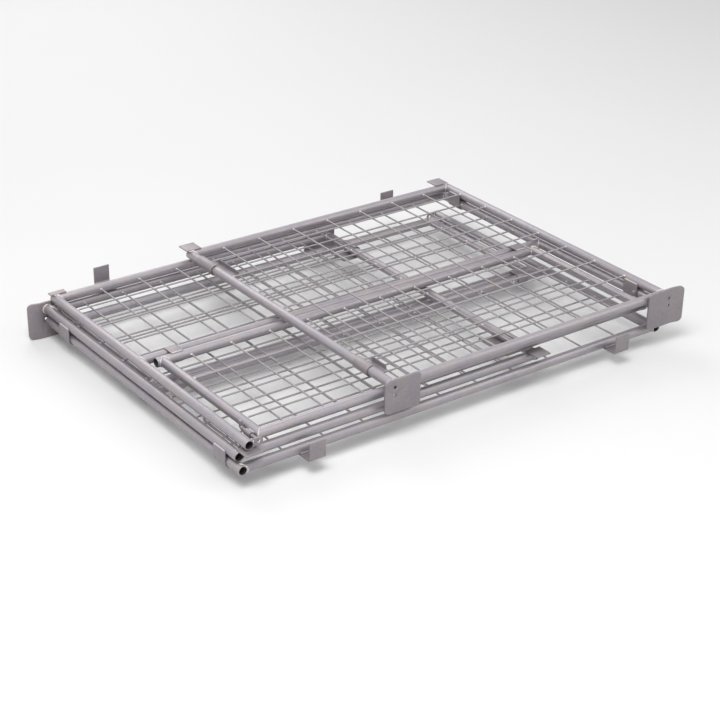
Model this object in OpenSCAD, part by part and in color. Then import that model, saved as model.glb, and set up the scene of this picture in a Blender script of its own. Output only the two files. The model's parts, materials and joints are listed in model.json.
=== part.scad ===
// Mesh pallet collar, folded flat.
// Two L-shaped pairs, each a long panel with a drop flap and a short panel hinged to its end post,
// lie one on the other, the lower pair turned half a turn about the vertical.
// In a pair's own frame the posts run along Y with the collar's top edge towards -Y, the long panel's
// tube axes lie at z = 0, and the short panel lies one stack pitch above it.

/* [Tubes] */
// Outside diameter of every tube, half-inch pipe
tube_d = 21.3; // [18:0.1:22]
// Wall of every tube
tube_wall = 2; // [1.5:0.1:3]
// Weld gap left between a tube or wire and what it is welded to
weld_gap = 0.1; // [0.05:0.01:0.2]

/* [Folded stack] */
// Height from one panel's tube axes to the next panel's
stack_pitch = 25.8; // [25.8:0.1:34]
// How far each long panel lies towards its hinge side
pair_shift = 8; // [6:1:12]
// How far each pair lies towards its own top edge
pair_slide = 7; // [6:0.5:8]

/* [Long panel] */
// Distance between the end posts' axes
long_gap = 1116; // [1050:1:1300]
// Top end of the posts, from the middle of the collar
long_top = 396; // [393:1:398]
// Bottom end of the posts, from the middle of the collar
long_foot = 411; // [408:1:412]
// Bottom rail's axis, from the middle of the collar
long_rail_y = 401; // [398:1:402]
// Middle rail's axis, from the middle of the collar
mid_rail_y = 30; // [25:1:35]

/* [Short panel] */
// Distance between the side posts' axes
short_gap = 766; // [700:1:900]
// Top and bottom rails' axes, from the middle of the collar
short_rail_y = 391.8; // [390:0.1:394]
// Bottom end of the posts, from the middle of the collar
short_foot = 399; // [395:1:402]
// Running gap between a corner plate and the rail of the pair below
plate_gap = 0.5; // [0.3:0.1:1]

/* [Drop flap] */
// Distance from a post's axis to the flap's side tube axis
flap_side_gap = 43; // [42:0.5:50]
// Distance from the middle rail's axis to the flap's hinge rail axis
flap_hinge_gap = 24; // [24:0.1:28]
// Flap's outer rail axis, from the middle of the collar
flap_rail_y = 367; // [360:1:369]
// How far the hinge rail stands past the side tubes' axes
flap_rail_over = 16; // [14:1:18]

/* [Wire mesh] */
// Diameter of the wires
wire_d = 4; // [3:0.1:4]
// Spacing of the wires
wire_pitch = 100; // [90:1:110]
// Height of the crosswise wires over the tube axes
cross_wire_z = 4.8; // [4.2:0.1:4.8]
// How deep a crosswise wire is welded into the upright ones
wire_bite = 0.2; // [0.1:0.05:0.5]
// Smallest distance from an outer upright wire to the post's axis
edge_gap = 60; // [50:1:64]
// First crosswise wire of a long panel, from its middle rail
long_first_wire = 87; // [84:1:90]
// First crosswise wire of a flap, from its hinge rail
flap_first_wire = 113; // [108:1:116]
// First crosswise wire of a short panel, from its bottom rail
short_first_wire = 68; // [60:1:72]
// Smallest distance from the last crosswise wire to a rail
rail_gap = 30; // [25:1:32]

/* [Hinge straps] */
// Sheet of the straps
strap_wall = 2.5; // [2:0.1:2.8]
// Length of a strap along the post
strap_len = 44; // [30:1:44]
// Running gap between a strap and the tube that it turns on
strap_gap = 0.3; // [0.2:0.05:0.5]
// Lower strap's middle, from the bottom rail of the long panel
strap_low = 56; // [54:1:57]
// Upper strap's middle, from the flap's outer rail
strap_high = 66; // [62:1:70]

/* [Flap hinges] */
// Length of a flap hinge along the middle rail
loop_len = 30; // [25:1:36]
// Flap hinge's middle, from the side tube's axis
loop_inset = 36; // [34:1:38]

/* [Corner plates] */
// Sheet of the corner plates
plate_wall = 5; // [4:0.1:5.5]
// Reach of the hinge post's plate from the post's axis towards the panel's middle
plate_in = 57; // [50:1:62]
// Reach of the hinge post's plate from the post's axis to the bend of its lip
plate_out = 19; // [16:1:22]
// Reach of the hinge post's plate over the post's axis
plate_above = 18; // [14:1:20]
// Reach of the hinge post's plate under the post's axis
plate_below = 70; // [66:1:72]
// Width of the lip
lip_w = 28; // [24:1:34]
// Angle of the lip, turned out, away from the panel
lip_angle = 12; // [5:1:15]
// Reach of the free post's plate from the post's axis towards the panel's middle
free_plate_in = 60; // [50:1:64]
// Reach of the free post's plate from the post's axis outwards
free_plate_out = 30; // [25:1:34]
// Reach of the free post's plate over the post's axis
free_plate_above = 20; // [14:1:22]
// Reach of the free post's plate under the post's axis
free_plate_below = 57; // [52:1:62]
// Radius of the corners beside the panel
plate_r = 8; // [4:1:12]
// Radius of the outer corners
lip_r = 12; // [8:1:14]
// Diameter of the holes in the plates
plate_hole_d = 7; // [5:0.5:8]
// Distance between the two holes
plate_hole_gap = 18; // [17:0.5:20]
// Holes' distance outside the post's axis
plate_hole_x = 5; // [0:0.5:6]
// Upper hole of the hinge post's plate, from the post's axis
plate_hole_z = -5; // [-7:0.5:0]
// Upper hole of the free post's plate, from the post's axis
free_plate_hole_z = 2; // [0:0.5:5]

/* [Hooks and tabs] */
// Sheet of the pallet hooks and the bottom tabs
hook_wall = 3; // [2.5:0.1:4]
// Width of a pallet hook
hook_w = 39; // [35:1:45]
// Outside reach of a hook from the bottom rail's axis
hook_reach = 43.4; // [38:0.1:50]
// Outside height of a hook's turned leg
hook_lip = 42; // [30:1:45]
// Inside bend of a hook
hook_bend = 3; // [1:0.5:6]
// Hook's middle, from the middle of the collar
hook_x = 412; // [400:1:425]
// Width of a bottom tab
tab_w = 39; // [34:1:42]
// How far a tab's middle lies from a hinge post's axis towards the panel's middle
hinge_tab_shift = 18; // [12:1:18]
// How far a tab's middle lies from a free post's axis towards the panel's middle
free_tab_shift = 6; // [3:1:11]
// How far a short panel's tab stands past the foot of its post
tab_reach = 28; // [24:1:32]
// How far a long panel's tab stands past the foot of its free post
long_tab_reach = 5; // [2:0.5:5.4]
// How far a tab laps over its post
tab_lap = 10; // [8:1:12]

/* [Corner latches] */
// Sheet of the latches
latch_wall = 2; // [1.5:0.1:2.2]
// Slack of a latch on its post
latch_slack = 0.8; // [0.3:0.1:0.9]
// Reach of a latch's tail from the post's axis
latch_reach = 43; // [40:1:46]
// Height of the turned lip at the tail's end
latch_lip = 12.4; // [8:0.1:12.4]
// Outside bend of the lip
latch_bend = 3; // [2.5:0.1:4]
// Angle over the panel's plane at which the wrapped sheet ends
latch_wrap = 66; // [62:1:80]
// Near end of the upper latch's sleeve, from the top rail's axis
top_sleeve_near = 72; // [70:1:76]
// Length of the upper latch's sleeve
top_sleeve_len = 50; // [45:1:52]
// Near end of the upper latch's tail, from the top rail's axis
top_tail_near = 78; // [76:1:80]
// Length of the upper latch's tail
top_tail_len = 52; // [46:1:53]
// Near end of the lower latch's sleeve, from the bottom rail's axis
low_sleeve_near = 42; // [40:1:45]
// Length of the lower latch's sleeve
low_sleeve_len = 64; // [60:1:66]
// Near end of the lower latch's tail, from the bottom rail's axis
low_tail_near = 46; // [44:1:50]
// Length of the lower latch's tail
low_tail_len = 94; // [86:1:94]

/* [Latch rods] */
// Diameter of the rods
rod_d = 5; // [4:0.1:5]
// Distance from the post's axis to the rod's axis
rod_off = 16.9; // [16.6:0.1:16.9]
// Turn of the rod about the post, from straight under it
rod_turn = 17; // [15:1:20]
// Radius of the rod's end bends
rod_bend = 5; // [4.5:0.1:5.5]
// Outer end of the upper rod, past the flap's outer rail
top_rod_out = 2; // [0:0.5:3]
// Length of the upper rod
top_rod_len = 133; // [125:1:136]
// Outer end of the lower rod, from the bottom rail
low_rod_in = 35; // [30:1:38]
// Length of the lower rod
low_rod_len = 81; // [75:1:86]

/* [Flap bolts] */
// Diameter of a flap bolt
bolt_d = 8; // [6:0.5:9]
// Running gap between a bolt and its guide or catch
bolt_gap = 0.35; // [0.2:0.05:0.5]
// Wall of a bolt's guide
guide_wall = 2.6; // [2:0.1:3]
// Length of a bolt's guide
guide_len = 20; // [15:1:22]
// Guide's near end, from the flap's outer rail
guide_in = 2; // [0:1:5]
// Bolt's tip, past the flap's outer rail
bolt_tip = 20.5; // [18:0.5:20.5]
// Length of a bolt from its tip to the handle's axis
bolt_len = 61; // [61:1:70]
// Height of a bolt's handle over the bolt's axis
bolt_handle = 16; // [14:0.5:17]
// Radius of the handle's bend
bolt_bend = 6; // [5:0.5:7]
// Sheet of a bolt's catch
catch_wall = 3; // [2:0.1:3.5]
// Distance from the post's top end to the catch
catch_in = 3; // [2:0.5:3.5]
// Half width of a catch
catch_half = 9; // [8:0.5:10]

/* [Hidden] */
$fn = 48;
tube_r = tube_d / 2;
bore_r = tube_r - tube_wall;
cope_r = tube_r + weld_gap;
wire_r = wire_d / 2;
far = 200;
// How far the arcs of the lip's corners run out past its end
arc_over = 0.1;

hinge_x = long_gap / 2 + pair_shift;
free_x = hinge_x - long_gap;
short_x = hinge_x - short_gap;
short_end = short_rail_y + tube_r + plate_gap;
flap_left = free_x + flap_side_gap;
flap_right = hinge_x - flap_side_gap;
flap_hinge_y = mid_rail_y - flap_hinge_gap;

upright_z = cross_wire_z - wire_d + wire_bite;
strap_r = tube_r + strap_gap;
latch_r = tube_r + latch_slack;
rod_r = rod_d / 2;
bolt_r = bolt_d / 2;
guide_bore = bolt_r + bolt_gap;
guide_r = guide_bore + guide_wall;
guide_off = tube_r + weld_gap + guide_r;

lower_z = plate_below - stack_pitch;
upper_z = lower_z + 2 * stack_pitch;

// Places of evenly spaced wires between two posts, centred
function upright_count(a, b) = floor((b - a - 2 * edge_gap) / wire_pitch) + 1;
function uprights(a, b) =
    let (n = upright_count(a, b))
    [for (i = [0 : n - 1]) (a + b) / 2 + (i - (n - 1) / 2) * wire_pitch];

// Places of crosswise wires from a first one towards a rail
function cross_wires(from, to, first) =
    let (way = sign(to - from), n = floor((abs(to - from) - first - rail_gap) / wire_pitch) + 1)
    [for (i = [0 : n - 1]) from + way * (first + i * wire_pitch)];

// Frames

module upper_pair() translate([0, -pair_slide, upper_z]) children();

module lower_pair() rotate([0, 0, 180]) translate([0, -pair_slide, lower_z]) children();

module short_plane() translate([0, 0, stack_pitch]) children();

// A profile drawn in X and Z, swept from y0 to y1
module along_y(y0, y1) translate([0, y1, 0]) rotate([90, 0, 0]) linear_extrude(y1 - y0) children();

// A profile drawn in Y and Z, swept from x0 to x1
module along_x(x0, x1) translate([x0, 0, 0]) rotate([90, 0, 90]) linear_extrude(x1 - x0) children();

module ring(outer, inner) {
    difference() {
        circle(r = outer);
        circle(r = inner);
    }
}

// Tubes and wires

module tube_y(x, y0, y1) along_y(y0, y1) translate([x, 0]) ring(tube_r, bore_r);

module tube_x(y, x0, x1) along_x(x0, x1) translate([y, 0]) ring(tube_r, bore_r);

// Room round a tube along Y, to which rails and wires are coped
module post_room(x) along_y(-long_gap, long_gap) translate([x, 0]) circle(r = cope_r);

module rail_room(y) along_x(-long_gap, long_gap) translate([y, 0]) circle(r = cope_r);

// A rail along X coped to tubes at both ends
module coped_rail(y, x0, x1) {
    difference() {
        tube_x(y, x0, x1);
        post_room(x0);
        post_room(x1);
    }
}

// A tube along Y coped to a rail at its end y1
module coped_side(x, y0, y1) {
    difference() {
        tube_y(x, y0, y1);
        rail_room(y1);
    }
}

// Room on the rail's side of a mitred flap corner, and on the side tube's side
module below_mitre(x, turn)
    translate([x, -flap_rail_y, 0]) rotate([0, 0, turn])
        translate([-far / 2, weld_gap / 2 - far, -far / 2]) cube([far, far, far]);

module above_mitre(x, turn)
    translate([x, -flap_rail_y, 0]) rotate([0, 0, turn])
        translate([-far / 2, -weld_gap / 2, -far / 2]) cube([far, far, far]);

// Crossing wires between two tubes along Y and two rails, welded where they cross
module mesh(x0, x1, y0, y1, rows) {
    difference() {
        union() {
            for (x = uprights(x0, x1))
                along_y(y0, y1) translate([x, upright_z]) circle(r = wire_r);
            for (y = rows)
                along_x(x0, x1) translate([y, cross_wire_z]) circle(r = wire_r);
        }
        post_room(x0);
        post_room(x1);
        rail_room(y0);
        rail_room(y1);
    }
}

// Sheet parts

// Half a ring round the first tube with two flanks to the second, in the profile's plane
module strap_profile(reach) {
    difference() {
        ring(strap_r + strap_wall, strap_r);
        translate([-far, 0]) square([2 * far, far]);
    }
    for (side = [-1, 1])
        translate([side * (strap_r + strap_wall / 2) - strap_wall / 2, 0]) square([strap_wall, reach]);
}

// Material outside a rounded corner whose arc has its middle at the origin, towards +X and +Y
module outer_corner(r) {
    difference() {
        square([2 * r, 2 * r]);
        circle(r = r);
    }
}

// What rounding takes off the two corners of a sheet that ends at x = 0 and lies towards -X
module corner_cuts(r, below, above)
    along_y(-2 * plate_wall, plate_wall) {
        translate([-r, above - r]) outer_corner(r);
        translate([-r, r - below]) mirror([0, 1]) outer_corner(r);
    }

// Hinge post's plate with its lip folded out, seen from above
module folded_sheet() {
    lip_x = plate_out + lip_w * cos(lip_angle);
    lip_y = -plate_wall - lip_w * sin(lip_angle);
    polygon([
        [-plate_in, 0], [plate_out + plate_wall * tan(lip_angle / 2), 0],
        [lip_x + plate_wall * sin(lip_angle), lip_y + plate_wall * cos(lip_angle)],
        [lip_x, lip_y], [plate_out, -plate_wall], [-plate_in, -plate_wall]
    ]);
}

// Two holes through a plate, the upper one at height z
module plate_holes(z)
    for (down = [0, plate_hole_gap])
        along_y(-far, far) translate([plate_hole_x, z - down]) circle(r = plate_hole_d / 2);

// Hinge post's corner plate round the origin at the post's end, its lip towards +X
module lipped_plate() {
    difference() {
        translate([0, 0, -plate_below]) linear_extrude(plate_below + plate_above) folded_sheet();
        translate([-plate_in, 0, 0]) mirror([1, 0, 0]) corner_cuts(plate_r, plate_below, plate_above);
        translate([plate_out, -plate_wall, 0]) rotate([0, 0, -lip_angle])
            translate([lip_w + arc_over, plate_wall, 0]) corner_cuts(lip_r, plate_below, plate_above);
        plate_holes(plate_hole_z);
    }
}

// Free post's corner plate round the origin at the post's end, its outer side towards +X
module flat_plate() {
    difference() {
        translate([-free_plate_in, -plate_wall, -free_plate_below])
            cube([free_plate_in + free_plate_out, plate_wall, free_plate_below + free_plate_above]);
        translate([-free_plate_in, 0, 0]) mirror([1, 0, 0])
            corner_cuts(plate_r, free_plate_below, free_plate_above);
        translate([free_plate_out, 0, 0]) corner_cuts(lip_r, free_plate_below, free_plate_above);
        plate_holes(free_plate_hole_z);
    }
}

// Flat tab on top of a post at the origin, from y0 to y1, its middle shifted towards -X
module foot_tab(shift, y0, y1)
    along_y(y0, y1) translate([-shift - tab_w / 2, tube_r]) square([tab_w, hook_wall]);

// Strip under the bottom rail, turned up at its end, in Y and Z
module hook_profile() {
    leg = long_rail_y + hook_reach;
    outer_bend = hook_bend + hook_wall;
    difference() {
        union() {
            translate([long_rail_y, -tube_r]) square([hook_reach - outer_bend, hook_wall]);
            translate([leg - hook_wall, -tube_r + outer_bend]) square([hook_wall, hook_lip - outer_bend]);
            intersection() {
                translate([leg - outer_bend, -tube_r + outer_bend]) ring(outer_bend, hook_bend);
                translate([leg - outer_bend, -tube_r]) square([outer_bend, outer_bend]);
            }
        }
        translate([long_rail_y, 0]) circle(r = cope_r);
    }
}

// Wrapped sheet with a flat tail and a turned lip, in X and Z round the post
module latch_wrap_profile() {
    outer = latch_r + latch_wall;
    difference() {
        ring(outer, latch_r);
        polygon([
            [0, 0], [0, -far], [far, -far], [far, 0], [far * cos(latch_wrap), far * sin(latch_wrap)]
        ]);
    }
}

module latch_tail_profile() {
    outer = latch_r + latch_wall;
    translate([0, -outer]) square([latch_reach - latch_bend, latch_wall]);
    translate([latch_reach - latch_wall, -outer + latch_bend]) square([latch_wall, latch_lip - latch_bend]);
    intersection() {
        translate([latch_reach - latch_bend, -outer + latch_bend]) ring(latch_bend, latch_bend - latch_wall);
        translate([latch_reach - latch_bend, -outer]) square([latch_bend, latch_bend]);
    }
}

// Latch on the short panel's free post, its sleeve from s0 to s1 and its tail from t0 to t1
module latch(s0, s1, t0, t1) {
    translate([short_x, 0, 0]) {
        along_y(s0, s1) latch_wrap_profile();
        along_y(t0, t1) latch_tail_profile();
    }
}

// Rod parts

// Bent rod beside the free post, its ends welded to the post at y0 and y1
module latch_rod(y0, y1) {
    translate([free_x, 0, 0]) rotate([0, rod_turn, 0])
        difference() {
            union() {
                along_y(y0 + rod_bend, y1 - rod_bend) translate([0, -rod_off]) circle(r = rod_r);
                translate([0, y0, 0]) rod_end();
                translate([0, y1, 0]) mirror([0, 1, 0]) rod_end();
            }
            along_y(-long_gap, long_gap) circle(r = cope_r);
        }
}

// Quarter bend from the rod up to the post, at the end towards -Y
module rod_end() {
    translate([0, rod_bend, -rod_off + rod_bend]) rotate([0, 90, 0]) rotate([0, 0, 270])
        rotate_extrude(angle = 90) translate([rod_bend, 0]) circle(r = rod_r);
    translate([0, 0, -rod_off + rod_bend]) cylinder(r = rod_r, h = rod_off - rod_bend);
}

// Flap bolt drawn back, its axis at x and its handle turned up
module flap_bolt(x) {
    tip = -(flap_rail_y + bolt_tip);
    heel = tip + bolt_len;
    translate([x, 0, 0]) {
        along_y(tip, heel - bolt_bend) circle(r = bolt_r);
        translate([0, heel - bolt_bend, bolt_bend]) rotate([0, 90, 0])
            rotate_extrude(angle = 90) translate([bolt_bend, 0]) circle(r = bolt_r);
        translate([0, heel, bolt_bend]) cylinder(r = bolt_r, h = bolt_handle - bolt_bend);
    }
}

// Guide on the outer side of a flap's side tube
module bolt_guide(x) {
    near = -(flap_rail_y - guide_in);
    along_y(near, near + guide_len) translate([x, 0]) ring(guide_r, guide_bore);
}

// Ear with a hole for the bolt, on a post at the origin and towards +X
module bolt_catch() {
    from = -(long_top - catch_in);
    hole = flap_side_gap - guide_off;
    along_y(from, from + catch_wall)
        difference() {
            union() {
                translate([0, -catch_half]) square([hole, 2 * catch_half]);
                translate([hole, 0]) circle(r = catch_half);
            }
            translate([hole, 0]) circle(r = guide_bore);
            circle(r = cope_r);
        }
}

// Pieces of one pair

module long_hinge_post() color("#b3afb5") tube_y(hinge_x, -long_top, long_foot);

module long_free_post() color("#b3afb5") tube_y(free_x, -long_top, long_foot);

module long_bottom_rail() color("#b3afb5") coped_rail(long_rail_y, free_x, hinge_x);

module long_mid_rail() color("#b3afb5") coped_rail(mid_rail_y, free_x, hinge_x);

module long_mesh()
    color("#a9a6ab")
    mesh(free_x, hinge_x, mid_rail_y, long_rail_y, cross_wires(mid_rail_y, long_rail_y, long_first_wire));

module pallet_hooks()
    color("#aaa7ac")
    for (x = [-hook_x, hook_x])
        along_x(x - hook_w / 2, x + hook_w / 2) hook_profile();

module long_foot_tab()
    color("#a49fa5")
    translate([free_x, 0, 0]) mirror([1, 0, 0])
        foot_tab(free_tab_shift, long_rail_y, long_foot + long_tab_reach);

module latch_rods() color("#a5a2a8") {
    top_from = -(flap_rail_y + top_rod_out);
    low_to = long_rail_y - low_rod_in;
    latch_rod(top_from, top_from + top_rod_len);
    latch_rod(low_to - low_rod_len, low_to);
}

module flap_catches() color("#aaa7ac") {
    translate([free_x, 0, 0]) bolt_catch();
    translate([hinge_x, 0, 0]) mirror([1, 0, 0]) bolt_catch();
}

module flap_left_tube()
    color("#b3afb5")
    difference() {
        coped_side(flap_left, -(flap_rail_y + tube_r), flap_hinge_y);
        below_mitre(flap_left, 45);
    }

module flap_right_tube()
    color("#b3afb5")
    difference() {
        coped_side(flap_right, -(flap_rail_y + tube_r), flap_hinge_y);
        below_mitre(flap_right, -45);
    }

module flap_outer_rail()
    color("#b3afb5")
    difference() {
        tube_x(-flap_rail_y, flap_left - tube_r, flap_right + tube_r);
        above_mitre(flap_left, 45);
        above_mitre(flap_right, -45);
    }

module flap_hinge_rail()
    color("#b3afb5")
    tube_x(flap_hinge_y, flap_left - flap_rail_over, flap_right + flap_rail_over);

module flap_mesh()
    color("#a9a6ab")
    mesh(flap_left, flap_right, -flap_rail_y, flap_hinge_y,
         cross_wires(flap_hinge_y, -flap_rail_y, flap_first_wire));

module flap_hinges()
    color("#aaa7ac")
    for (x = [flap_left + loop_inset, flap_right - loop_inset])
        along_x(x - loop_len / 2, x + loop_len / 2)
            translate([mid_rail_y, 0]) rotate(90) strap_profile(flap_hinge_gap);

module flap_bolt_guides() color("#aaa7ac") {
    bolt_guide(flap_left - guide_off);
    bolt_guide(flap_right + guide_off);
}

module flap_left_bolt() color("#a5a2a8") flap_bolt(flap_left - guide_off);

module flap_right_bolt() color("#a5a2a8") flap_bolt(flap_right + guide_off);

module short_hinge_post() color("#b3afb5") short_plane() tube_y(hinge_x, weld_gap - short_end, short_foot);

module short_free_post() color("#b3afb5") short_plane() tube_y(short_x, weld_gap - short_end, short_foot);

module short_bottom_rail() color("#b3afb5") short_plane() coped_rail(short_rail_y, short_x, hinge_x);

module short_top_rail() color("#b3afb5") short_plane() coped_rail(-short_rail_y, short_x, hinge_x);

module short_mesh()
    color("#a9a6ab")
    short_plane()
    mesh(short_x, hinge_x, -short_rail_y, short_rail_y,
         cross_wires(short_rail_y, -short_rail_y, short_first_wire));

module hinge_corner_plate()
    color("#a49fa5")
    short_plane() translate([hinge_x, -short_end, 0]) lipped_plate();

module free_corner_plate()
    color("#a49fa5")
    short_plane() translate([short_x, -short_end, 0]) mirror([1, 0, 0]) flat_plate();

module bottom_tabs()
    color("#a49fa5")
    short_plane() {
        translate([hinge_x, 0, 0])
            foot_tab(hinge_tab_shift, short_foot - tab_lap, short_foot + tab_reach);
        translate([short_x, 0, 0]) mirror([1, 0, 0])
            foot_tab(free_tab_shift, short_foot - tab_lap, short_foot + tab_reach);
    }

module hinge_straps()
    color("#aaa7ac")
    translate([hinge_x, 0, 0])
    for (y = [long_rail_y - strap_low, -(flap_rail_y - strap_high)])
        along_y(y - strap_len / 2, y + strap_len / 2) strap_profile(stack_pitch);

module top_latch() {
    sleeve = -short_rail_y + top_sleeve_near;
    tail = -short_rail_y + top_tail_near;
    color("#a49fa5") short_plane() latch(sleeve, sleeve + top_sleeve_len, tail, tail + top_tail_len);
}

module low_latch() {
    sleeve = short_rail_y - low_sleeve_near;
    tail = short_rail_y - low_tail_near;
    color("#a49fa5") short_plane() latch(sleeve - low_sleeve_len, sleeve, tail - low_tail_len, tail);
}

upper_pair() long_hinge_post();  // upper_long_hinge_post
upper_pair() long_free_post();  // upper_long_free_post
upper_pair() long_bottom_rail();  // upper_long_bottom_rail
upper_pair() long_mid_rail();  // upper_long_mid_rail
upper_pair() long_mesh();  // upper_long_mesh
upper_pair() pallet_hooks();  // upper_pallet_hooks
upper_pair() long_foot_tab();  // upper_long_foot_tab
upper_pair() latch_rods();  // upper_latch_rods
upper_pair() flap_catches();  // upper_flap_catches
upper_pair() flap_left_tube();  // upper_flap_left_tube
upper_pair() flap_right_tube();  // upper_flap_right_tube
upper_pair() flap_outer_rail();  // upper_flap_outer_rail
upper_pair() flap_hinge_rail();  // upper_flap_hinge_rail
upper_pair() flap_mesh();  // upper_flap_mesh
upper_pair() flap_hinges();  // upper_flap_hinges
upper_pair() flap_bolt_guides();  // upper_flap_bolt_guides
upper_pair() flap_left_bolt();  // upper_flap_left_bolt
upper_pair() flap_right_bolt();  // upper_flap_right_bolt
upper_pair() short_hinge_post();  // upper_short_hinge_post
upper_pair() short_free_post();  // upper_short_free_post
upper_pair() short_bottom_rail();  // upper_short_bottom_rail
upper_pair() short_top_rail();  // upper_short_top_rail
upper_pair() short_mesh();  // upper_short_mesh
upper_pair() hinge_corner_plate();  // upper_hinge_corner_plate
upper_pair() free_corner_plate();  // upper_free_corner_plate
upper_pair() bottom_tabs();  // upper_bottom_tabs
upper_pair() hinge_straps();  // upper_hinge_straps
upper_pair() top_latch();  // upper_top_latch
upper_pair() low_latch();  // upper_low_latch
lower_pair() long_hinge_post();  // lower_long_hinge_post
lower_pair() long_free_post();  // lower_long_free_post
lower_pair() long_bottom_rail();  // lower_long_bottom_rail
lower_pair() long_mid_rail();  // lower_long_mid_rail
lower_pair() long_mesh();  // lower_long_mesh
lower_pair() pallet_hooks();  // lower_pallet_hooks
lower_pair() long_foot_tab();  // lower_long_foot_tab
lower_pair() latch_rods();  // lower_latch_rods
lower_pair() flap_catches();  // lower_flap_catches
lower_pair() flap_left_tube();  // lower_flap_left_tube
lower_pair() flap_right_tube();  // lower_flap_right_tube
lower_pair() flap_outer_rail();  // lower_flap_outer_rail
lower_pair() flap_hinge_rail();  // lower_flap_hinge_rail
lower_pair() flap_mesh();  // lower_flap_mesh
lower_pair() flap_hinges();  // lower_flap_hinges
lower_pair() flap_bolt_guides();  // lower_flap_bolt_guides
lower_pair() flap_left_bolt();  // lower_flap_left_bolt
lower_pair() flap_right_bolt();  // lower_flap_right_bolt
lower_pair() short_hinge_post();  // lower_short_hinge_post
lower_pair() short_free_post();  // lower_short_free_post
lower_pair() short_bottom_rail();  // lower_short_bottom_rail
lower_pair() short_top_rail();  // lower_short_top_rail
lower_pair() short_mesh();  // lower_short_mesh
lower_pair() hinge_corner_plate();  // lower_hinge_corner_plate
lower_pair() free_corner_plate();  // lower_free_corner_plate
lower_pair() bottom_tabs();  // lower_bottom_tabs
lower_pair() hinge_straps();  // lower_hinge_straps
lower_pair() top_latch();  // lower_top_latch
lower_pair() low_latch();  // lower_low_latch
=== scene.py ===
"""Looks of a folded mesh pallet collar: zinc on tubes, wires and sheet parts, their welds and a studio."""
import json
import math

import bpy
from mathutils import Matrix, Vector


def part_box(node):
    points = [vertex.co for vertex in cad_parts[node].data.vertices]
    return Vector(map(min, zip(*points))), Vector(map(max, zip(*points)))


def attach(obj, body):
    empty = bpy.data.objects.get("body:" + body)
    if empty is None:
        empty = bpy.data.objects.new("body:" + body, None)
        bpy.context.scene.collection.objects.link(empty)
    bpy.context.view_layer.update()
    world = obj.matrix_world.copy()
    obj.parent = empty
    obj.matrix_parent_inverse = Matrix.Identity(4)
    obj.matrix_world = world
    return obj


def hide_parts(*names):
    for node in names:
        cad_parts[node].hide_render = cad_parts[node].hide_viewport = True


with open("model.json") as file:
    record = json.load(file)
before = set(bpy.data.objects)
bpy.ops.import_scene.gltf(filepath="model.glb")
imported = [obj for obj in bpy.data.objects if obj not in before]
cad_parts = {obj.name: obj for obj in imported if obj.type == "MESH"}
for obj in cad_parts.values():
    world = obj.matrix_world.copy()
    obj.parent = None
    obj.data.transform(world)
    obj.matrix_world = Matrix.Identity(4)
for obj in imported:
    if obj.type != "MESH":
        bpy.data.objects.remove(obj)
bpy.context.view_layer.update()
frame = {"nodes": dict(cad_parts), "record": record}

bl_info = {
    "name": "Mesh pallet collar",
    "version": (1, 0, 0),
    "blender": (4, 5, 0),
    "location": "3D View > Sidebar > Collar",
    "description": "Galvanised finish, rounded sheet parts and welds of a folded mesh pallet collar",
    "category": "Object",
}

# Share of its light that the floor throws back up
FLOOR_BOUNCE = 0.45
PAIRS = {"upper": 1, "lower": -1}
MM = 0.001


def middle(node):
    low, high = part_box(node)
    return (Vector(low) + Vector(high)) / 2


def low_corner(node):
    return Vector(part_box(node)[0])


def high_corner(node):
    return Vector(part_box(node)[1])


# Places read from the upper pair, whose X and Y are the pair's own

HINGE_X = middle("upper_long_hinge_post").x
FREE_X = middle("upper_long_free_post").x
SHORT_X = middle("upper_short_free_post").x
LEFT_X = middle("upper_flap_left_tube").x
RIGHT_X = middle("upper_flap_right_tube").x
LONG_FOOT_Y = middle("upper_long_bottom_rail").y
MID_Y = middle("upper_long_mid_rail").y
FLAP_HINGE_Y = middle("upper_flap_hinge_rail").y
FLAP_OUTER_Y = middle("upper_flap_outer_rail").y
SHORT_FOOT_Y = middle("upper_short_bottom_rail").y
SHORT_TOP_Y = middle("upper_short_top_rail").y
TUBE_R = (high_corner("upper_long_free_post").x - low_corner("upper_long_free_post").x) / 2
STACK = middle("upper_short_free_post").z - middle("upper_long_free_post").z
UPRIGHT_Z = 1.0 * MM
CROSS_Z = 4.8 * MM
STRAP_LEN = 44 * MM
LOOP_LEN = 30 * MM
ROD_R = 2.5 * MM
ROD_TURN = math.radians(17)
TOP_ROD_LEN = 133 * MM
LOW_ROD_LEN = 81 * MM
HALF_HOOK = 19.5 * MM

# First crosswise wire of each mesh, from a rail's axis, and the least distance of a wire from a rail
LONG_ROW = 87 * MM
FLAP_ROW = 313 * MM
SHORT_ROW = 115.6 * MM
ROW_MARGIN = 20 * MM
MOST_ROWS = 12

# Welds: share of a strap's length that is welded, lengths of the other beads, and how far they stand
# off what they lie on
WELDED_SHARE = 0.86
TAB_BEAD = 12 * MM
HOOK_BEAD = 33 * MM
CATCH_BEAD = 13 * MM
ROD_BEAD = 6 * MM
GUIDE_BEAD = 17 * MM
BEAD_LIFT = 0.2 * MM
STRAP_STAND = 1.2 * MM
EDGE_STAND = 0.4 * MM
TAB_STAND = 0.3 * MM
HOOK_BEAD_OUT = 8.6 * MM
HOOK_BEAD_UP = 4.2 * MM
GUIDE_BEAD_IN = 0.6 * MM
GUIDE_BEAD_UP = 3.4 * MM
FREE_TAB_BEAD_SHIFT = 1.5 * MM
HINGE_TAB_BEAD_SHIFT = 4 * MM
# How far inside a tube's wall its faces start to get the painted bore shade
BORE_MARGIN = 1.85 * MM
FLOOR_DROP = 0.5 * MM

# Density of each pattern in the zinc, in repeats per metre
CLOUD_SCALE = 26
STREAK_SCALE = 140
SKIN_SCALE = 900
SPOT_SCALE = 75
CRYSTAL_SCALE = 210

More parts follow.
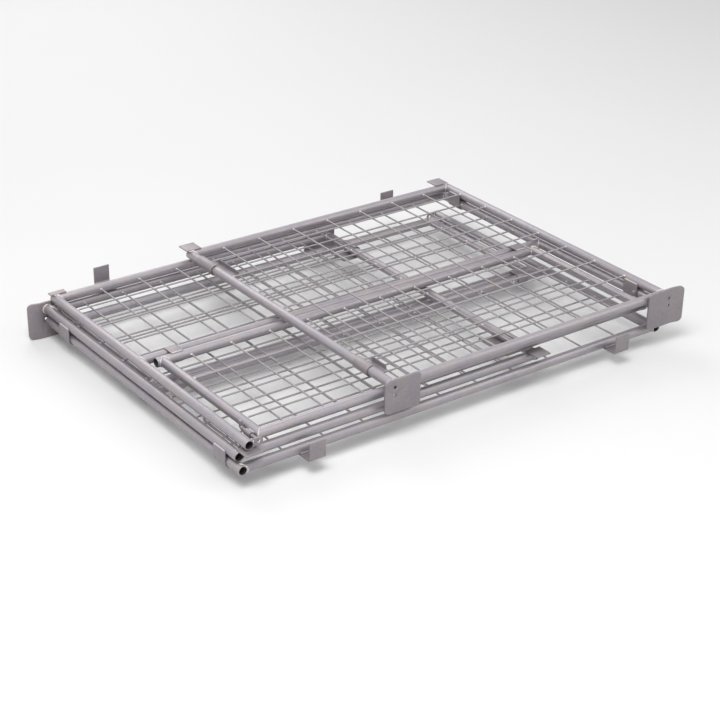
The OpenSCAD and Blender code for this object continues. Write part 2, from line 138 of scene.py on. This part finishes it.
# Camera: turn, tilt and roll in degrees, focal length and film width in mm, place in metres
CAMERA_TURN = 36.608
CAMERA_TILT = 27.323
CAMERA_ROLL = 1.017
CAMERA_LENS = 88.56
CAMERA_FILM = 36
CAMERA_PLACE = (-2.14895, -2.90945, 1.81835)
ALONG_Y = Matrix.Rotation(math.pi / 2, 4, "Z")
UPRIGHT = Matrix.Rotation(math.pi / 2, 4, "Y")


class CollarSizes(bpy.types.PropertyGroup):
    """Sizes of the welds and of the worn edges"""
    edge_round: bpy.props.FloatProperty(
        name="Edge rounding", description="Rounding of cut sheet and tube edges", default=0.45 * MM,
        min=0.1 * MM, max=1 * MM, unit="LENGTH", precision=5)
    joint_bead: bpy.props.FloatProperty(
        name="Joint bead", description="Radius of the bead where two tubes meet", default=1.7 * MM,
        min=0.5 * MM, max=3 * MM, unit="LENGTH", precision=5)
    strap_bead: bpy.props.FloatProperty(
        name="Strap bead", description="Radius of the bead along a strap, hook or tab", default=1.5 * MM,
        min=0.5 * MM, max=3 * MM, unit="LENGTH", precision=5)
    wire_dot: bpy.props.FloatProperty(
        name="Wire end weld", description="Radius of the weld at a wire's end", default=3.6 * MM,
        min=2 * MM, max=5 * MM, unit="LENGTH", precision=5)
    cross_dot: bpy.props.FloatProperty(
        name="Wire crossing weld", description="Radius of the weld where two wires cross",
        default=2.5 * MM, min=1 * MM, max=4 * MM, unit="LENGTH", precision=5)
    wire_pitch: bpy.props.FloatProperty(
        name="Wire spacing", description="Distance between two wires", default=100 * MM,
        min=50 * MM, max=150 * MM, unit="LENGTH", precision=4)
    wire_edge: bpy.props.FloatProperty(
        name="Wire edge gap", description="Smallest distance from a post's axis to the first upright wire",
        default=60 * MM, min=40 * MM, max=80 * MM, unit="LENGTH", precision=4)


class CollarColours(bpy.types.PropertyGroup):
    """Colours of the zinc, the welds, the painted shade inside the tubes and the studio"""
    tube: bpy.props.FloatVectorProperty(
        name="Tube zinc", description="Zinc on the tubes", default=(0.355, 0.330, 0.365),
        subtype="COLOR", min=0, max=1)
    wire: bpy.props.FloatVectorProperty(
        name="Wire zinc", description="Zinc on the wires", default=(0.345, 0.325, 0.350),
        subtype="COLOR", min=0, max=1)
    sheet: bpy.props.FloatVectorProperty(
        name="Sheet zinc", description="Zinc on the plates, hooks and straps",
        default=(0.290, 0.262, 0.288), subtype="COLOR", min=0, max=1)
    weld: bpy.props.FloatVectorProperty(
        name="Weld zinc", description="Zinc over the welds", default=(0.62, 0.60, 0.62),
        subtype="COLOR", min=0, max=1)
    # Near-black colour inside the tubes: painted shade that stands in for the shadow in the open tube ends,
    # not the zinc's own colour
    shaded_bore: bpy.props.FloatVectorProperty(
        name="Tube bore", description="Dull zinc inside the tubes", default=(0.035, 0.032, 0.036),
        subtype="COLOR", min=0, max=1)
    floor: bpy.props.FloatVectorProperty(
        name="Floor", description="Studio floor", default=(0.90, 0.90, 0.90), subtype="COLOR", min=0, max=1)


def sizes():
    return bpy.context.scene.collar_sizes


def colours():
    return bpy.context.scene.collar_colours


# Materials

def add_node(tree, kind, **inputs):
    made = tree.nodes.new(kind)
    for name, value in inputs.items():
        made.inputs[name.replace("_", " ")].default_value = value
    return made


def ramp(tree, value, low, high, dark, light):
    """Turns a 0 to 1 value into a grey between dark and light, from low to high."""
    made = tree.nodes.new("ShaderNodeMapRange")
    made.inputs["From Min"].default_value = low
    made.inputs["From Max"].default_value = high
    made.inputs["To Min"].default_value = dark
    made.inputs["To Max"].default_value = light
    tree.links.new(value, made.inputs["Value"])
    return made.outputs["Result"]


def times(tree, a, b):
    made = tree.nodes.new("ShaderNodeMath")
    made.operation = "MULTIPLY"
    tree.links.new(a, made.inputs[0])
    tree.links.new(b, made.inputs[1])
    return made.outputs["Value"]


def plus(tree, a, b):
    made = tree.nodes.new("ShaderNodeMath")
    made.operation = "ADD"
    tree.links.new(a, made.inputs[0])
    tree.links.new(b, made.inputs[1])
    return made.outputs["Value"]


def pattern(tree, coords, stretch, scale, detail, rough=0.55):
    """Noise on Object coordinates, stretched along the axes given by stretch."""
    mapping = tree.nodes.new("ShaderNodeMapping")
    mapping.inputs["Scale"].default_value = stretch
    tree.links.new(coords, mapping.inputs["Vector"])
    noise = add_node(tree, "ShaderNodeTexNoise", Scale=scale, Detail=detail, Roughness=rough)
    tree.links.new(mapping.outputs["Vector"], noise.inputs["Vector"])
    return noise.outputs["Fac"]


def zinc(name, colour, stretch, gloss, mottle, spangle, grain, metal=0.45):
    """Hot-dip zinc: cloudy tone, faint crystals, drawn streaks, dull spots and a fine uneven skin."""
    made = bpy.data.materials.new(name)
    made.use_nodes = True
    tree = made.node_tree
    shader = tree.nodes["Principled BSDF"]
    shader.inputs["Metallic"].default_value = metal
    shader.inputs["IOR"].default_value = 1.9
    coords = tree.nodes.new("ShaderNodeTexCoord").outputs["Object"]

    clouds = pattern(tree, coords, (1, 1, 1), CLOUD_SCALE, 5)
    streaks = pattern(tree, coords, stretch, STREAK_SCALE, 4)
    skin = pattern(tree, coords, (1, 1, 1), SKIN_SCALE, 3)
    spots = pattern(tree, coords, (1, 1, 1), SPOT_SCALE, 6, 0.7)
    crystals = add_node(tree, "ShaderNodeTexVoronoi", Scale=CRYSTAL_SCALE, Randomness=1)
    tree.links.new(coords, crystals.inputs["Vector"])
    crystal_tone = tree.nodes.new("ShaderNodeRGBToBW")
    tree.links.new(crystals.outputs["Color"], crystal_tone.inputs["Color"])

    tone = times(tree, ramp(tree, clouds, 0.3, 0.7, 1 - mottle, 1 + mottle),
                 ramp(tree, streaks, 0.3, 0.7, 1 - grain, 1 + grain))
    tone = times(tree, tone, ramp(tree, crystal_tone.outputs["Val"], 0.1, 0.9, 1 - spangle, 1 + spangle))
    tone = times(tree, tone, ramp(tree, spots, 0.60, 0.78, 1, 0.80))

    tint = tree.nodes.new("ShaderNodeMix")
    tint.data_type = "RGBA"
    tint.inputs["A"].default_value = (*colour, 1)
    warm = (colour[0] * 1.03, colour[1] * 1.0, colour[2] * 0.93, 1)
    tint.inputs["B"].default_value = warm
    tree.links.new(ramp(tree, clouds, 0.42, 0.62, 0, 1), tint.inputs["Factor"])
    scaled = tree.nodes.new("ShaderNodeVectorMath")
    scaled.operation = "SCALE"
    tree.links.new(tint.outputs["Result"], scaled.inputs[0])
    tree.links.new(tone, scaled.inputs["Scale"])
    tree.links.new(scaled.outputs["Vector"], shader.inputs["Base Color"])

    dull = plus(tree, ramp(tree, streaks, 0.3, 0.7, gloss - 0.05, gloss + 0.06),
                ramp(tree, spots, 0.5, 0.8, 0, 0.18))
    tree.links.new(dull, shader.inputs["Roughness"])

    height = plus(tree, ramp(tree, skin, 0.3, 0.7, 0, 0.35), ramp(tree, spots, 0.3, 0.8, 0, 1))
    height = plus(tree, height, ramp(tree, streaks, 0.3, 0.7, 0, 0.4))
    bump = add_node(tree, "ShaderNodeBump", Strength=0.35, Distance=0.12 * MM)
    tree.links.new(height, bump.inputs["Height"])
    tree.links.new(bump.outputs["Normal"], shader.inputs["Normal"])
    return made


def studio_floor(colour):
    """Pale floor whose own tone wanders a little and that throws only part of its light back up."""
    made = bpy.data.materials.new("studio_floor")
    made.use_nodes = True
    tree = made.node_tree
    shader = tree.nodes["Principled BSDF"]
    shader.inputs["Roughness"].default_value = 0.85
    coords = tree.nodes.new("ShaderNodeTexCoord").outputs["Object"]
    cloudy = pattern(tree, coords, (1, 1, 1), 0.8, 3)
    tone = ramp(tree, cloudy, 0.3, 0.7, 0.985, 1.0)
    scaled = tree.nodes.new("ShaderNodeVectorMath")
    scaled.operation = "SCALE"
    scaled.inputs[0].default_value = colour
    path = tree.nodes.new("ShaderNodeLightPath")
    bounce = ramp(tree, path.outputs["Is Diffuse Ray"], 0, 1, 1, FLOOR_BOUNCE)
    tree.links.new(times(tree, tone, bounce), scaled.inputs["Scale"])
    tree.links.new(scaled.outputs["Vector"], shader.inputs["Base Color"])
    return made


def finish_for(node):
    """Which zinc a node gets: drawn streaks follow the length of its tubes."""
    if node.endswith("mesh"):
        return "dipped_wire"
    if "rail" in node:
        return "dipped_tube_x"
    if "post" in node or node.endswith("tube"):
        return "dipped_tube_y"
    return "dipped_sheet"


def slot_for(node):
    if node.endswith("mesh"):
        return "zinc_wire"
    if "rail" in node or "post" in node or node.endswith("tube"):
        return "zinc_tube"
    return "zinc_sheet"


# Modelling helpers

def deselect_all():
    if bpy.context.object and bpy.context.object.mode != "OBJECT":
        bpy.ops.object.mode_set(mode="OBJECT")
    bpy.ops.object.select_all(action="DESELECT")


def pick(*objs):
    deselect_all()
    for obj in objs:
        obj.select_set(True)
    bpy.context.view_layer.objects.active = objs[0]


def settle(obj):
    """Moves an object's place, turn and scale into its mesh."""
    pick(obj)
    bpy.ops.object.transform_apply(location=True, rotation=True, scale=True)


def apply_modifiers(obj):
    pick(obj)
    for modifier in list(obj.modifiers):
        bpy.ops.object.modifier_apply(modifier=modifier.name)


def own_copy(obj, place=Matrix.Identity(4)):
    made = obj.copy()
    made.data = obj.data.copy()
    bpy.context.scene.collection.objects.link(made)
    made.matrix_world = place @ obj.matrix_world
    return made


def join_as(name, objs, material, body):
    """Joins objects into one finished piece at the origin that rides on a body."""
    pick(*objs)
    bpy.ops.object.join()
    made = bpy.context.view_layer.objects.active
    made.name = name
    made.data.name = name
    settle(made)
    made.data.materials.clear()
    made.data.materials.append(bpy.data.materials[material])
    bpy.ops.object.shade_smooth()
    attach(made, body)
    return made


def drop(obj):
    pick(obj)
    bpy.ops.object.delete()


def pair_place(pair, x, y, z):
    """Placing of something at a point of a pair's own frame, turned as the pair is."""
    plane = middle(pair + "_long_hinge_post").z
    turn = Matrix.Rotation(0 if PAIRS[pair] > 0 else math.pi, 4, "Z")
    return turn @ Matrix.Translation((x, y, 0)) @ Matrix.Translation((0, 0, plane + z))


def uprights(low, high):
    pitch = sizes().wire_pitch
    count = math.floor((high - low - 2 * sizes().wire_edge) / pitch + 1e-6) + 1
    return [(low + high) / 2 + (i - (count - 1) / 2) * pitch for i in range(count)]


def rows_of(node, first):
    """Crosswise wires of a mesh, from its first one on, all by the wire spacing."""
    low, high = low_corner(node).y + ROW_MARGIN, high_corner(node).y - ROW_MARGIN
    pitch = sizes().wire_pitch
    return [first + i * pitch for i in range(MOST_ROWS) if low < first + i * pitch < high]


# Pieces

ROUNDED = [
    "long_hinge_post", "long_free_post", "long_bottom_rail", "long_mid_rail", "pallet_hooks",
    "long_foot_tab", "latch_rods", "flap_catches", "flap_left_tube", "flap_right_tube",
    "flap_outer_rail", "flap_hinge_rail", "flap_hinges", "flap_bolt_guides", "flap_left_bolt",
    "flap_right_bolt", "short_hinge_post", "short_free_post", "short_bottom_rail", "short_top_rail",
    "hinge_corner_plate", "free_corner_plate", "bottom_tabs", "hinge_straps", "top_latch", "low_latch",
]


def body_name(node):
    for name, nodes in frame["record"]["behaviour"]["bodies"].items():
        if node in nodes:
            return name
    raise ValueError("no body holds " + node)


def paint_bore_shade(obj, node):
    """Gives the faces inside a tube a near-black material: painted shade for the shadow inside the tube."""
    obj.data.materials.append(bpy.data.materials["painted_bore_shade"])
    axis = middle(node)
    along = Vector((1, 0, 0)) if "rail" in node else Vector((0, 1, 0))
    for face in obj.data.polygons:
        out = face.center - axis
        out -= along * out.dot(along)
        if out.length < TUBE_R - BORE_MARGIN and face.normal.dot(out) < 0:
            face.material_index = 1


def rounded_copy(node):
    """A node's shape with its facets joined and its cut edges softened, as dipping in zinc leaves them."""
    made = own_copy(frame["nodes"][node])
    made.parent = None
    made.matrix_world = Matrix.Identity(4)
    made.name = node + "_zinc"
    made.data.name = made.name
    pick(made)
    bpy.ops.object.mode_set(mode="EDIT")
    bpy.ops.mesh.select_all(action="SELECT")
    bpy.ops.mesh.remove_doubles(threshold=0.004 * MM)
    bpy.ops.mesh.dissolve_limited(angle_limit=math.radians(0.6))
    bpy.ops.object.mode_set(mode="OBJECT")
    bevel = made.modifiers.new("Rounding", "BEVEL")
    bevel.width = sizes().edge_round
    bevel.segments = 2
    bevel.limit_method = "ANGLE"
    bevel.angle_limit = math.radians(50)
    bevel.use_clamp_overlap = True
    apply_modifiers(made)
    bpy.ops.object.shade_smooth_by_angle(angle=math.radians(35))
    made.data.materials.clear()
    made.data.materials.append(bpy.data.materials[finish_for(node)])
    # Tubes get painted shade, a near-black tone, on their inner faces
    if slot_for(node) == "zinc_tube":
        paint_bore_shade(made, node)
    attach(made, body_name(node))
    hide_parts(node)
    return made


def lumpy(obj, amount, size):
    """Uneven weld surface."""
    texture = bpy.data.textures.new(obj.name + "_lumps", "CLOUDS")
    texture.noise_scale = size
    lumps = obj.modifiers.new("Lumps", "DISPLACE")
    lumps.texture = texture
    lumps.texture_coords = "LOCAL"
    lumps.strength = amount
    lumps.mid_level = 0.5
    apply_modifiers(obj)


def saddle_bead():
    """Bead where a rail meets a post of the same size: two half ellipses in planes at 45 degrees.

    The rail lies towards +X, the post along Y, and both axes pass through the origin."""
    halves = []
    for side in (1, -1):
        bpy.ops.mesh.primitive_torus_add(
            major_radius=TUBE_R + 0.2 * MM, minor_radius=sizes().joint_bead, major_segments=44,
            minor_segments=8, location=(0, 0, 0))
        half = bpy.context.object
        bpy.ops.object.mode_set(mode="EDIT")
        bpy.ops.mesh.select_all(action="SELECT")
        bpy.ops.mesh.bisect(
            plane_co=(0, 0, 0), plane_no=(1, 0, 0), use_fill=True, clear_inner=True, clear_outer=False)
        bpy.ops.object.mode_set(mode="OBJECT")
        lay = Matrix.Rotation(math.radians(45) * side, 4, "Z")
        stand = Matrix.Rotation(math.radians(90), 4, "X")
        half.matrix_world = lay @ stand @ Matrix.Diagonal((math.sqrt(2), 1, 1, 1))
        settle(half)
        halves.append(half)
    pick(*halves)
    bpy.ops.object.join()
    bead = bpy.context.object
    bead.name = "saddle_bead"
    lumpy(bead, 0.7 * MM, 3.5 * MM)
    return bead


def mitre_bead():
    """Bead round a mitred corner, in the plane at 45 degrees between +X and +Y."""
    bpy.ops.mesh.primitive_torus_add(
        major_radius=TUBE_R + 0.1 * MM, minor_radius=sizes().joint_bead * 0.85, major_segments=44,
        minor_segments=8, location=(0, 0, 0))
    bead = bpy.context.object
    bead.name = "mitre_bead"
    lay = Matrix.Rotation(math.radians(45), 4, "Z")
    stand = Matrix.Rotation(math.radians(90), 4, "X")
    bead.matrix_world = lay @ stand @ Matrix.Diagonal((math.sqrt(2), 1, 1, 1))
    settle(bead)
    lumpy(bead, 0.5 * MM, 3.5 * MM)
    return bead


def ring_bead():
    """Bead round a post's end on its plate, about the Y axis."""
    bpy.ops.mesh.primitive_torus_add(
        major_radius=TUBE_R + 0.3 * MM, minor_radius=sizes().joint_bead, major_segments=44,
        minor_segments=8, location=(0, 0, 0), rotation=(math.pi / 2, 0, 0))
    bead = bpy.context.object
    bead.name = "ring_bead"
    settle(bead)
    lumpy(bead, 0.7 * MM, 3.5 * MM)
    return bead


def bead_line(length, radius):
    """Straight bead along X with the overlapping ripples of a hand weld, its middle at the origin."""
    step = radius * 1.15
    count = max(2, round(length / step))
    drops = []
    bpy.ops.mesh.primitive_uv_sphere_add(segments=10, ring_count=6, radius=radius, location=(0, 0, 0))
    first = bpy.context.object
    for i in range(count):
        wander = 1 + 0.12 * math.sin(i * 2.1)
        drop_place = Matrix.Translation(((i + 0.5) / count * length - length / 2, 0, 0))
        drops.append(own_copy(first, drop_place @ Matrix.Diagonal((1.1, wander, wander, 1))))
    drop(first)
    pick(*drops)
    bpy.ops.object.join()
    bead = bpy.context.object
    bead.name = "bead_line"
    settle(bead)
    return bead


def wire_weld(radius, flat):
    """Low dome of metal squeezed out where a wire is welded."""
    bpy.ops.mesh.primitive_ico_sphere_add(subdivisions=2, radius=radius, location=(0, 0, 0))
    made = bpy.context.object
    made.name = "wire_weld"
    made.scale = (1, 1, flat)
    settle(made)
    lumpy(made, radius * 0.25, radius)
    return made


class COLLAR_OT_finishes(bpy.types.Operator):
    """Make the zinc finishes and give every CAD node its own"""
    bl_idname = "collar.finishes"
    bl_label = "Zinc finishes"

    def execute(self, context):
        tone = colours()
        zinc("dipped_tube_x", tone.tube, (0.06, 1, 1), 0.40, 0.05, 0.04, 0.05)
        zinc("dipped_tube_y", tone.tube, (1, 0.06, 1), 0.40, 0.05, 0.04, 0.05)
        zinc("dipped_wire", tone.wire, (1, 1, 1), 0.42, 0.05, 0.04, 0.04)
        zinc("dipped_sheet", tone.sheet, (0.4, 1, 1), 0.46, 0.06, 0.05, 0.03)
        zinc("dipped_weld", tone.weld, (1, 1, 1), 0.44, 0.12, 0.05, 0.08)
        # Material for the inside of the tubes: painted shade, a near-black tone with a rougher finish
        zinc("painted_bore_shade", tone.shaded_bore, (1, 1, 1), 0.70, 0.15, 0.05, 0.10)
        for name, node in frame["nodes"].items():
            node.data.materials.clear()
            node.data.materials.append(bpy.data.materials[finish_for(name)])
        return {"FINISHED"}


class COLLAR_OT_rounded_parts(bpy.types.Operator):
    """Give the tubes, straps, plates, hooks, latches and bolts softened edges"""
    bl_idname = "collar.rounded_parts"
    bl_label = "Rounded tubes and sheet parts"

    def execute(self, context):
        for pair in PAIRS:
            for part in ROUNDED:
                rounded_copy(pair + "_" + part)
        return {"FINISHED"}


class COLLAR_OT_joint_welds(bpy.types.Operator):
    """Weld beads where rails meet posts and at the flaps' mitred corners"""
    bl_idname = "collar.joint_welds"
    bl_label = "Tube joint welds"

    def execute(self, context):
        saddle = saddle_bead()
        mitre = mitre_bead()
        about = Matrix.Rotation(math.pi, 4, "Z")
        quarter = Matrix.Rotation(math.pi / 2, 4, "Z")
        for pair in PAIRS:
            long_beads = []
            for rail_y in (LONG_FOOT_Y, MID_Y):
                long_beads.append(own_copy(saddle, pair_place(pair, FREE_X, rail_y, 0)))
                long_beads.append(own_copy(saddle, pair_place(pair, HINGE_X, rail_y, 0) @ about))
            join_as(pair + "_long_joint_welds", long_beads, "dipped_weld", pair + "_long")

            short_beads = []
            for rail_y in (SHORT_FOOT_Y, SHORT_TOP_Y):
                short_beads.append(own_copy(saddle, pair_place(pair, SHORT_X, rail_y, STACK)))
                short_beads.append(own_copy(saddle, pair_place(pair, HINGE_X, rail_y, STACK) @ about))
            join_as(pair + "_short_joint_welds", short_beads, "dipped_weld", pair + "_short")

            flap_beads = [
                own_copy(mitre, pair_place(pair, LEFT_X, FLAP_OUTER_Y, 0)),
                own_copy(mitre, pair_place(pair, RIGHT_X, FLAP_OUTER_Y, 0) @ quarter),
            ]
            for side_x in (LEFT_X, RIGHT_X):
                flap_beads.append(
                    own_copy(saddle, pair_place(pair, side_x, FLAP_HINGE_Y, 0) @ quarter.inverted()))
            join_as(pair + "_flap_joint_welds", flap_beads, "dipped_weld", pair + "_flap")
        drop(saddle)
        drop(mitre)
        return {"FINISHED"}


class COLLAR_OT_wire_welds(bpy.types.Operator):
    """Welds at the wires' ends and crossings"""
    bl_idname = "collar.wire_welds"
    bl_label = "Wire welds"

    def execute(self, context):
        end = wire_weld(sizes().wire_dot, 0.8)
        cross = wire_weld(sizes().cross_dot, 0.75)
        for pair in PAIRS:
            long_rows = rows_of("upper_long_mesh", MID_Y + LONG_ROW)
            flap_rows = rows_of("upper_flap_mesh", FLAP_HINGE_Y - FLAP_ROW)
            short_rows = rows_of("upper_short_mesh", SHORT_TOP_Y + SHORT_ROW)
            self.weld(pair, "long", end, cross, (FREE_X, HINGE_X), (MID_Y, LONG_FOOT_Y),
                      long_rows, 0, uprights(FREE_X, HINGE_X))
            self.weld(pair, "flap", end, cross, (LEFT_X, RIGHT_X), (FLAP_OUTER_Y, FLAP_HINGE_Y),
                      flap_rows, 0, uprights(LEFT_X, RIGHT_X))
            self.weld(pair, "short", end, cross, (SHORT_X, HINGE_X), (SHORT_TOP_Y, SHORT_FOOT_Y),
                      short_rows, STACK, uprights(SHORT_X, HINGE_X))
        drop(end)
        drop(cross)
        return {"FINISHED"}

    def weld(self, pair, panel, end, cross, posts, rails, rows, plane, columns):
        """Welds of one mesh between two posts and two rails."""
        dots = []
        for x in columns:
            for rail_y, way in ((rails[0], 1), (rails[1], -1)):
                reach = math.sqrt(TUBE_R ** 2 - UPRIGHT_Z ** 2)
                dots.append(own_copy(end, pair_place(pair, x, rail_y + way * reach, plane + UPRIGHT_Z)))
            for y in rows:
                dots.append(own_copy(cross, pair_place(pair, x, y, plane + (UPRIGHT_Z + CROSS_Z) / 2)))
        for y in rows:
            for post_x, way in ((posts[0], 1), (posts[1], -1)):
                reach = math.sqrt(TUBE_R ** 2 - CROSS_Z ** 2)
                dots.append(own_copy(end, pair_place(pair, post_x + way * reach, y, plane + CROSS_Z)))
        join_as(pair + "_" + panel + "_wire_welds", dots, "dipped_weld", pair + "_" + panel)


class COLLAR_OT_strap_welds(bpy.types.Operator):
    """Beads along the straps, hooks, tabs, plates, catches, guides and rods"""
    bl_idname = "collar.strap_welds"
    bl_label = "Strap, hook and plate welds"

    def execute(self, context):
        ring = ring_bead()
        for pair in PAIRS:
            join_as(pair + "_strap_welds", self.short_panel(pair, ring), "dipped_weld", pair + "_short")
            join_as(pair + "_hook_welds", self.long_panel(pair), "dipped_weld", pair + "_long")
            join_as(pair + "_guide_welds", self.flap(pair), "dipped_weld", pair + "_flap")
        drop(ring)
        return {"FINISHED"}

    def line(self, pair, length, x, y, z, turn=Matrix.Identity(4)):
        """A straight bead of some length at a point of a pair."""
        made = bead_line(length, sizes().strap_bead)
        made.matrix_world = pair_place(pair, x, y, z) @ turn
        settle(made)
        return made

    def short_panel(self, pair, ring):
        """Strap flanks on the hinge post, tab ends on both posts, and the posts' ends on their plates."""
        low_strap, high_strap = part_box("upper_hinge_straps")
        half_strap = STRAP_LEN / 2
        made = []
        for y in (high_strap[1] - half_strap, low_strap[1] + half_strap):
            for way in (-1, 1):
                x = HINGE_X + way * (TUBE_R + STRAP_STAND)
                made.append(self.line(pair, STRAP_LEN * WELDED_SHARE, x, y, STACK + EDGE_STAND, ALONG_Y))
        tab_y = low_corner("upper_bottom_tabs").y - TAB_STAND
        for x in (SHORT_X - FREE_TAB_BEAD_SHIFT, HINGE_X - HINGE_TAB_BEAD_SHIFT):
            made.append(self.line(pair, TAB_BEAD, x, tab_y, STACK + TUBE_R + BEAD_LIFT))
        plate_y = high_corner("upper_free_corner_plate").y
        for x in (SHORT_X, HINGE_X):
            made.append(own_copy(ring, pair_place(pair, x, plate_y, STACK)))
        return made

    def long_panel(self, pair):
        """Hooks under the bottom rail, the foot tab, the catches' roots and the rods' ends."""
        hook_low, hook_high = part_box("upper_pallet_hooks")
        made = []
        for x in (hook_low[0] + HALF_HOOK, hook_high[0] - HALF_HOOK):
            made.append(self.line(pair, HOOK_BEAD, x, LONG_FOOT_Y + HOOK_BEAD_OUT, HOOK_BEAD_UP - TUBE_R))
        tab_y = low_corner("upper_long_foot_tab").y - TAB_STAND
        tab_x = FREE_X + FREE_TAB_BEAD_SHIFT
        made.append(self.line(pair, TAB_BEAD, tab_x, tab_y, TUBE_R + BEAD_LIFT))
        catch_low, catch_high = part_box("upper_flap_catches")
        for x in (FREE_X + TUBE_R, HINGE_X - TUBE_R):
            for y in (catch_low[1] - EDGE_STAND, catch_high[1] + EDGE_STAND):
                made.append(self.line(pair, CATCH_BEAD, x, y, 0, UPRIGHT))
        rod_low, rod_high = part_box("upper_latch_rods")
        ends = (rod_low[1] + ROD_R, rod_low[1] + ROD_R + TOP_ROD_LEN,
                rod_high[1] - ROD_R, rod_high[1] - ROD_R - LOW_ROD_LEN)
        reach = TUBE_R + BEAD_LIFT
        for y in ends:
            made.append(self.line(pair, ROD_BEAD, FREE_X - reach * math.sin(ROD_TURN), y,
                                  -reach * math.cos(ROD_TURN)))
        return made

    def flap(self, pair):
        """The hinge straps' flanks on the flap's hinge rail, and the bolts' guides."""
        low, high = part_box("upper_flap_hinges")
        made = []
        for x in (low[0] + LOOP_LEN / 2, high[0] - LOOP_LEN / 2):
            for way in (-1, 1):
                made.append(self.line(pair, LOOP_LEN * WELDED_SHARE, x, FLAP_HINGE_Y - EDGE_STAND,
                                      way * (TUBE_R + STRAP_STAND)))
        guide_y = middle("upper_flap_bolt_guides").y
        for x in (LEFT_X - TUBE_R - GUIDE_BEAD_IN, RIGHT_X + TUBE_R + GUIDE_BEAD_IN):
            for way in (-1, 1):
                made.append(self.line(pair, GUIDE_BEAD, x, guide_y, way * GUIDE_BEAD_UP, ALONG_Y))
        return made


class COLLAR_OT_studio(bpy.types.Operator):
    """Pale floor, soft lamps, white backdrop and the camera"""
    bl_idname = "collar.studio"
    bl_label = "Studio"

    def execute(self, context):
        self.floor()
        self.backdrop(context)
        self.lamp("key_lamp", (-1.6, -1.2, 3.4), 2.0, 90)
        self.lamp("fill_lamp", (2.6, -2.4, 2.2), 2.6, 26)
        self.lamp("back_lamp", (0.6, 3.2, 2.4), 2.6, 36)
        self.camera(context)
        context.scene.view_settings.view_transform = "Standard"
        return {"FINISHED"}

    def floor(self):
        deselect_all()
        bpy.ops.mesh.primitive_circle_add(
            vertices=96, radius=30, fill_type="NGON", location=(0, 0, -FLOOR_DROP))
        floor = bpy.context.object
        floor.name = "floor"
        settle(floor)
        floor.data.materials.append(studio_floor(tuple(colours().floor)))

    def backdrop(self, context):
        world = bpy.data.worlds.new("studio_air")
        context.scene.world = world
        world.use_nodes = True
        tree = world.node_tree
        tree.nodes.clear()
        out = tree.nodes.new("ShaderNodeOutputWorld")
        soft = add_node(tree, "ShaderNodeBackground", Strength=0.45)
        white = add_node(tree, "ShaderNodeBackground", Strength=1.0)
        white.inputs["Color"].default_value = (1, 1, 1, 1)
        soft.inputs["Color"].default_value = (1, 1, 1, 1)
        path = tree.nodes.new("ShaderNodeLightPath")
        seen = plus(tree, path.outputs["Is Camera Ray"], path.outputs["Is Glossy Ray"])
        seen = plus(tree, seen, path.outputs["Is Transmission Ray"])
        mix = tree.nodes.new("ShaderNodeMixShader")
        tree.links.new(seen, mix.inputs["Fac"])
        tree.links.new(soft.outputs["Background"], mix.inputs[1])
        tree.links.new(white.outputs["Background"], mix.inputs[2])
        tree.links.new(mix.outputs["Shader"], out.inputs["Surface"])

    def lamp(self, name, place, width, power):
        data = bpy.data.lights.new(name, "AREA")
        data.shape = "SQUARE"
        data.size = width
        data.energy = power
        lamp = bpy.data.objects.new(name, data)
        bpy.context.scene.collection.objects.link(lamp)
        lamp.location = place
        lamp.rotation_euler = (-Vector(place)).to_track_quat("-Z", "Y").to_euler()

    def camera(self, context):
        turn, tilt, roll = (math.radians(angle) for angle in (CAMERA_TURN, CAMERA_TILT, CAMERA_ROLL))
        data = bpy.data.cameras.new("photo_camera")
        data.sensor_width = CAMERA_FILM
        data.lens = CAMERA_LENS
        camera = bpy.data.objects.new("photo_camera", data)
        context.scene.collection.objects.link(camera)
        aim = Matrix.Rotation(-turn, 4, "Z") @ Matrix.Rotation(math.pi / 2 - tilt, 4, "X")
        place = Matrix.Translation(CAMERA_PLACE)
        camera.matrix_world = place @ aim @ Matrix.Rotation(roll, 4, "Z")
        context.scene.camera = camera


class COLLAR_PT_pieces(bpy.types.Panel):
    """Lists the collar's pieces, sizes and colours"""
    bl_label = "Mesh pallet collar"
    bl_idname = "COLLAR_PT_pieces"
    bl_space_type = "VIEW_3D"
    bl_region_type = "UI"
    bl_category = "Collar"

    def draw(self, context):
        column = self.layout.column()
        for operator in OPERATORS:
            column.operator(operator.bl_idname)
        for name in CollarSizes.__annotations__:
            column.prop(context.scene.collar_sizes, name)
        for name in CollarColours.__annotations__:
            column.prop(context.scene.collar_colours, name)


OPERATORS = (
    COLLAR_OT_finishes, COLLAR_OT_rounded_parts, COLLAR_OT_joint_welds, COLLAR_OT_wire_welds,
    COLLAR_OT_strap_welds, COLLAR_OT_studio,
)
CLASSES = (CollarSizes, CollarColours, *OPERATORS, COLLAR_PT_pieces)


def register():
    for cls in CLASSES:
        bpy.utils.register_class(cls)
    bpy.types.Scene.collar_sizes = bpy.props.PointerProperty(type=CollarSizes)
    bpy.types.Scene.collar_colours = bpy.props.PointerProperty(type=CollarColours)


def unregister():
    del bpy.types.Scene.collar_colours
    del bpy.types.Scene.collar_sizes
    for cls in reversed(CLASSES):
        bpy.utils.unregister_class(cls)


def main():
    register()
    bpy.ops.collar.finishes()
    bpy.ops.collar.rounded_parts()
    bpy.ops.collar.joint_welds()
    bpy.ops.collar.wire_welds()
    bpy.ops.collar.strap_welds()
    bpy.ops.collar.studio()


if __name__ == "__main__":
    main()
